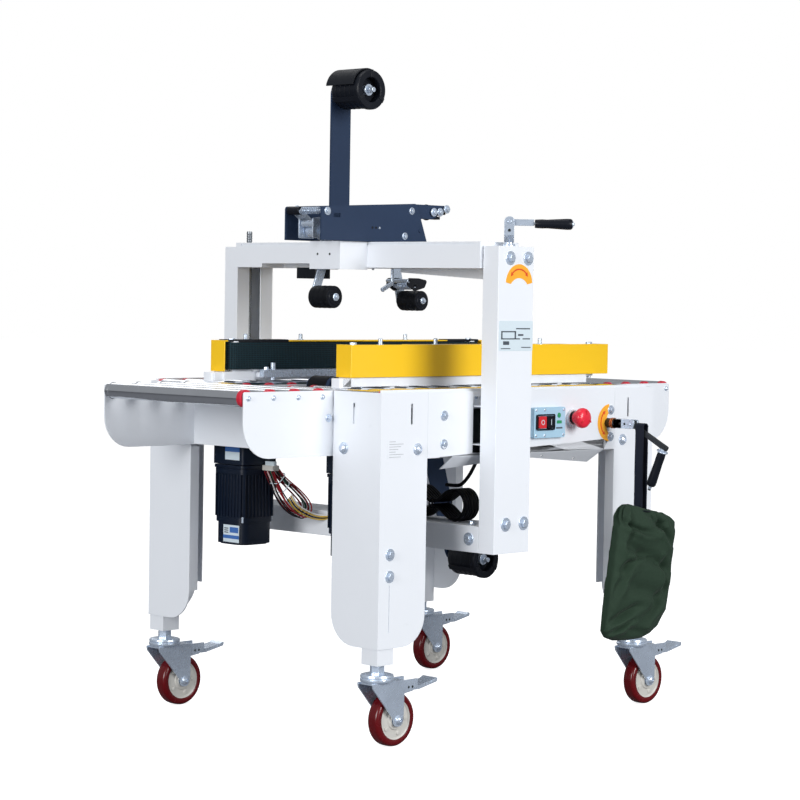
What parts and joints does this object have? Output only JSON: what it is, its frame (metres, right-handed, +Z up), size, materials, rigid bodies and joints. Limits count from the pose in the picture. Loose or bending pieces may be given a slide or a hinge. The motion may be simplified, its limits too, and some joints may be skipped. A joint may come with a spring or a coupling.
{
  "type": "carton sealer machine",
  "caption": "Side-belt carton sealer: roller bed on castors, yellow belt guards, taping heads above and below, crank-set height and width, controls and a hung tool bag.",
  "frame": {"origin": "on the floor, under the middle of the machine's outer box", "axes": "+X is the way the cartons travel, from infeed to outfeed; -Y is the operator's side; +Z is up"},
  "size_m": [1.2254, 0.8618, 1.2648],
  "materials": {
    "white_paint": "smooth semi-gloss powder coat",
    "bright_roller": "zinc-plated roller tube with red end caps",
    "zinc_steel": "bright zinc plate",
    "red_tyre": "glossy red polyurethane tread on a beige-grey core",
    "yellow_paint": "smooth yellow powder coat",
    "belt_rubber": "matt, fine raised grid",
    "motor_paint": "satin dark blue paint on cast housing",
    "navy_paint": "fine-textured dark navy powder coat",
    "black_plastic": "moulded, satin",
    "black_rubber": "smooth, satin",
    "blue_plastic": "satin pale blue moulding",
    "red_plastic": "glossy moulded red",
    "green_cloth": "coated woven nylon, dull"
  },
  "bodies": {
    "root": {"leg_near_infeed": "white_paint", "leg_far_infeed": "white_paint", "leg_near_outfeed": "white_paint", "leg_far_outfeed": "white_paint", "side_panel_near": "white_paint", "side_panel_far": "white_paint", "infeed_table_frame": "white_paint", "outfeed_table_frame": "white_paint", "roller_bed": "bright_roller", "column_near": "white_paint", "column_far": "white_paint", "crossbeam": "white_paint", "lower_head": "navy_paint", "switch_box": "blue_plastic", "cord_hank": "black_rubber", "cord_lead": "black_rubber", "cord_plug": "black_plastic"},
    "bridge": {"bridge": "white_paint", "head_frame": "navy_paint"},
    "reel_hub": {"reel_hub": "black_plastic"},
    "lower_reel_hub": {"lower_reel_hub": "black_plastic"},
    "front_roller_arm": {"front_roller_arm": "zinc_steel"},
    "front_tape_roller": {"front_tape_roller": "black_rubber"},
    "rear_roller_arm": {"rear_roller_arm": "zinc_steel"},
    "rear_tape_roller": {"rear_tape_roller": "black_rubber"},
    "lift_screw_near": {"lift_screw_near": "zinc_steel"},
    "lift_screw_far": {"lift_screw_far": "zinc_steel"},
    "lift_crank_arm": {"lift_crank_arm": "zinc_steel"},
    "lift_crank_grip": {"lift_crank_grip": "black_plastic"},
    "width_shaft": {"width_shaft": "zinc_steel"},
    "width_crank_arm": {"width_crank_arm": "zinc_steel"},
    "width_crank_grip": {"width_crank_grip": "black_plastic"},
    "tool_bag": {"tool_bag": "green_cloth"},
    "carriage_near": {"carriage_near": "white_paint", "belt_near": "belt_rubber", "belt_cover_near": "yellow_paint", "motor_near": "motor_paint"},
    "carriage_far": {"carriage_far": "white_paint", "belt_far": "belt_rubber", "belt_cover_far": "yellow_paint", "motor_far": "motor_paint"},
    "start_button": {"start_button": "black_plastic"},
    "stop_button": {"stop_button": "red_plastic"},
    "emergency_stop": {"emergency_stop": "red_plastic"},
    "castor_fork_near_infeed": {"castor_fork_near_infeed": "zinc_steel"},
    "castor_wheel_near_infeed": {"castor_wheel_near_infeed": "red_tyre"},
    "castor_fork_far_infeed": {"castor_fork_far_infeed": "zinc_steel"},
    "castor_wheel_far_infeed": {"castor_wheel_far_infeed": "red_tyre"},
    "castor_fork_near_outfeed": {"castor_fork_near_outfeed": "zinc_steel"},
    "castor_wheel_near_outfeed": {"castor_wheel_near_outfeed": "red_tyre"},
    "castor_fork_far_outfeed": {"castor_fork_far_outfeed": "zinc_steel"},
    "castor_wheel_far_outfeed": {"castor_wheel_far_outfeed": "red_tyre"},
    "infeed_roller_1": {"infeed_roller_1": "bright_roller"},
    "infeed_roller_2": {"infeed_roller_2": "bright_roller"},
    "infeed_roller_3": {"infeed_roller_3": "bright_roller"},
    "infeed_roller_4": {"infeed_roller_4": "bright_roller"},
    "outfeed_roller_1": {"outfeed_roller_1": "bright_roller"},
    "outfeed_roller_2": {"outfeed_roller_2": "bright_roller"},
    "outfeed_roller_3": {"outfeed_roller_3": "bright_roller"},
    "outfeed_roller_4": {"outfeed_roller_4": "bright_roller"}
  },
  "joints": [
    {"name": "castor_swivel_near_infeed", "type": "hinge", "parent": "root", "child": "castor_fork_near_infeed", "pos_m": [-0.3645, -0.25364, 0.13], "axis": [0, 0, 1], "continuous": true},
    {"name": "castor_roll_near_infeed", "type": "hinge", "parent": "castor_fork_near_infeed", "child": "castor_wheel_near_infeed", "pos_m": [-0.3265, -0.25364, 0.05], "axis": [0, 1, 0], "continuous": true},
    {"name": "castor_swivel_far_infeed", "type": "hinge", "parent": "root", "child": "castor_fork_far_infeed", "pos_m": [-0.3645, 0.34536, 0.13], "axis": [0, 0, 1], "continuous": true},
    {"name": "castor_roll_far_infeed", "type": "hinge", "parent": "castor_fork_far_infeed", "child": "castor_wheel_far_infeed", "pos_m": [-0.3265, 0.34536, 0.05], "axis": [0, 1, 0], "continuous": true},
    {"name": "castor_swivel_near_outfeed", "type": "hinge", "parent": "root", "child": "castor_fork_near_outfeed", "pos_m": [0.3715, -0.25364, 0.13], "axis": [0, 0, 1], "continuous": true},
    {"name": "castor_roll_near_outfeed", "type": "hinge", "parent": "castor_fork_near_outfeed", "child": "castor_wheel_near_outfeed", "pos_m": [0.4095, -0.25364, 0.05], "axis": [0, 1, 0], "continuous": true},
    {"name": "castor_swivel_far_outfeed", "type": "hinge", "parent": "root", "child": "castor_fork_far_outfeed", "pos_m": [0.3715, 0.34536, 0.13], "axis": [0, 0, 1], "continuous": true},
    {"name": "castor_roll_far_outfeed", "type": "hinge", "parent": "castor_fork_far_outfeed", "child": "castor_wheel_far_outfeed", "pos_m": [0.4095, 0.34536, 0.05], "axis": [0, 1, 0], "continuous": true},
    {"name": "infeed_roller_1_spin", "type": "hinge", "parent": "root", "child": "infeed_roller_1", "pos_m": [-0.5965, 0.04586, 0.639], "axis": [0, 1, 0], "continuous": true},
    {"name": "infeed_roller_2_spin", "type": "hinge", "parent": "root", "child": "infeed_roller_2", "pos_m": [-0.5358, 0.04586, 0.639], "axis": [0, 1, 0], "continuous": true},
    {"name": "infeed_roller_3_spin", "type": "hinge", "parent": "root", "child": "infeed_roller_3", "pos_m": [-0.4751, 0.04586, 0.639], "axis": [0, 1, 0], "continuous": true},
    {"name": "infeed_roller_4_spin", "type": "hinge", "parent": "root", "child": "infeed_roller_4", "pos_m": [-0.4144, 0.04586, 0.639], "axis": [0, 1, 0], "continuous": true},
    {"name": "outfeed_roller_1_spin", "type": "hinge", "parent": "root", "child": "outfeed_roller_1", "pos_m": [0.5965, 0.04586, 0.639], "axis": [0, 1, 0], "continuous": true},
    {"name": "outfeed_roller_2_spin", "type": "hinge", "parent": "root", "child": "outfeed_roller_2", "pos_m": [0.5358, 0.04586, 0.639], "axis": [0, 1, 0], "continuous": true},
    {"name": "outfeed_roller_3_spin", "type": "hinge", "parent": "root", "child": "outfeed_roller_3", "pos_m": [0.4751, 0.04586, 0.639], "axis": [0, 1, 0], "continuous": true},
    {"name": "outfeed_roller_4_spin", "type": "hinge", "parent": "root", "child": "outfeed_roller_4", "pos_m": [0.4144, 0.04586, 0.639], "axis": [0, 1, 0], "continuous": true},
    {"name": "lift_screw_turn", "type": "hinge", "parent": "root", "child": "lift_screw_near", "pos_m": [-0.0955, -0.31614, 0.93], "axis": [0, 0, 1], "range_deg": [0, 7920]},
    {"name": "lift_screw_far_turn", "type": "hinge", "parent": "root", "child": "lift_screw_far", "pos_m": [-0.0955, 0.40786, 0.93], "axis": [0, 0, 1], "range_deg": [0, 7920]},
    {"name": "bridge_lift", "type": "slide", "parent": "root", "child": "bridge", "axis": [0, 0, 1], "range_m": [-0.11, 0]},
    {"name": "lift_crank_fold", "type": "hinge", "parent": "lift_screw_near", "child": "lift_crank_arm", "pos_m": [-0.0955, -0.31614, 0.968], "axis": [0.7145, 0.6997, 0], "range_deg": [-90, 10]},
    {"name": "lift_grip_spin", "type": "hinge", "parent": "lift_crank_arm", "child": "lift_crank_grip", "pos_m": [-0.03743, -0.37544, 0.965], "axis": [0.6997, -0.7145, 0], "continuous": true},
    {"name": "width_shaft_turn", "type": "hinge", "parent": "root", "child": "width_shaft", "pos_m": [0.2505, -0.30414, 0.581], "axis": [0, 1, 0], "range_deg": [-1980, 2880]},
    {"name": "carriage_near_slide", "type": "slide", "parent": "root", "child": "carriage_near", "axis": [0, -1, 0], "range_m": [-0.0551, 0.0801]},
    {"name": "carriage_far_slide", "type": "slide", "parent": "root", "child": "carriage_far", "axis": [0, 1, 0], "range_m": [-0.0551, 0.0801]},
    {"name": "width_crank_fold", "type": "hinge", "parent": "width_shaft", "child": "width_crank_arm", "pos_m": [0.2505, -0.34114, 0.581], "axis": [1, 0, 0], "range_deg": [-25, 0]},
    {"name": "width_grip_spin", "type": "hinge", "parent": "width_crank_arm", "child": "width_crank_grip", "pos_m": [0.2505, -0.40314, 0.4955], "axis": [0, 0.3714, -0.9285], "continuous": true},
    {"name": "bag_hang", "type": "hinge", "parent": "width_crank_arm", "child": "tool_bag", "pos_m": [0.2505, -0.36514, 0.571], "axis": [1, 0, 0], "range_deg": [0, 25]},
    {"name": "front_arm_swing", "type": "hinge", "parent": "bridge", "child": "front_roller_arm", "pos_m": [-0.2695, 0.04586, 0.986], "axis": [0, -1, 0], "range_deg": [0, 43], "stiffness_Nm_per_rad": 1.5, "springref_deg": -20.05},
    {"name": "front_roller_spin", "type": "hinge", "parent": "front_roller_arm", "child": "front_tape_roller", "pos_m": [-0.2225, 0.04586, 0.822], "axis": [0, 1, 0], "continuous": true},
    {"name": "rear_arm_swing", "type": "hinge", "parent": "bridge", "child": "rear_roller_arm", "pos_m": [-0.0145, 0.04586, 0.956], "axis": [0, -1, 0], "range_deg": [0, 50]},
    {"name": "rear_roller_spin", "type": "hinge", "parent": "rear_roller_arm", "child": "rear_tape_roller", "pos_m": [0.0205, 0.04586, 0.817], "axis": [0, 1, 0], "continuous": true},
    {"name": "reel_spin", "type": "hinge", "parent": "bridge", "child": "reel_hub", "pos_m": [-0.1435, 0.04586, 1.226], "axis": [0, 1, 0], "continuous": true},
    {"name": "lower_reel_spin", "type": "hinge", "parent": "root", "child": "lower_reel_hub", "pos_m": [0.2115, 0.04586, 0.285], "axis": [0, 1, 0], "continuous": true},
    {"name": "start_press", "type": "slide", "parent": "root", "child": "start_button", "axis": [0, 1, 0], "range_m": [0, 0.003], "stiffness_N_per_m": 800},
    {"name": "stop_press", "type": "slide", "parent": "root", "child": "stop_button", "axis": [0, 1, 0], "range_m": [0, 0.003], "stiffness_N_per_m": 800},
    {"name": "emergency_press", "type": "slide", "parent": "root", "child": "emergency_stop", "axis": [0, 1, 0], "range_m": [0, 0.005], "stiffness_N_per_m": 1200}
  ],
  "couplings": [
    {"joint": "lift_screw_turn", "follows": "bridge_lift", "rad_per_m": -1256.6},
    {"joint": "lift_screw_far_turn", "follows": "bridge_lift", "rad_per_m": -1256.6},
    {"joint": "carriage_near_slide", "follows": "width_shaft_turn", "m_per_rad": 0.0015915},
    {"joint": "carriage_far_slide", "follows": "width_shaft_turn", "m_per_rad": 0.0015915},
    {"joint": "bag_hang", "follows": "width_crank_fold", "ratio": -1},
    {"joint": "rear_arm_swing", "follows": "front_arm_swing", "ratio": 1.15}
  ]
}
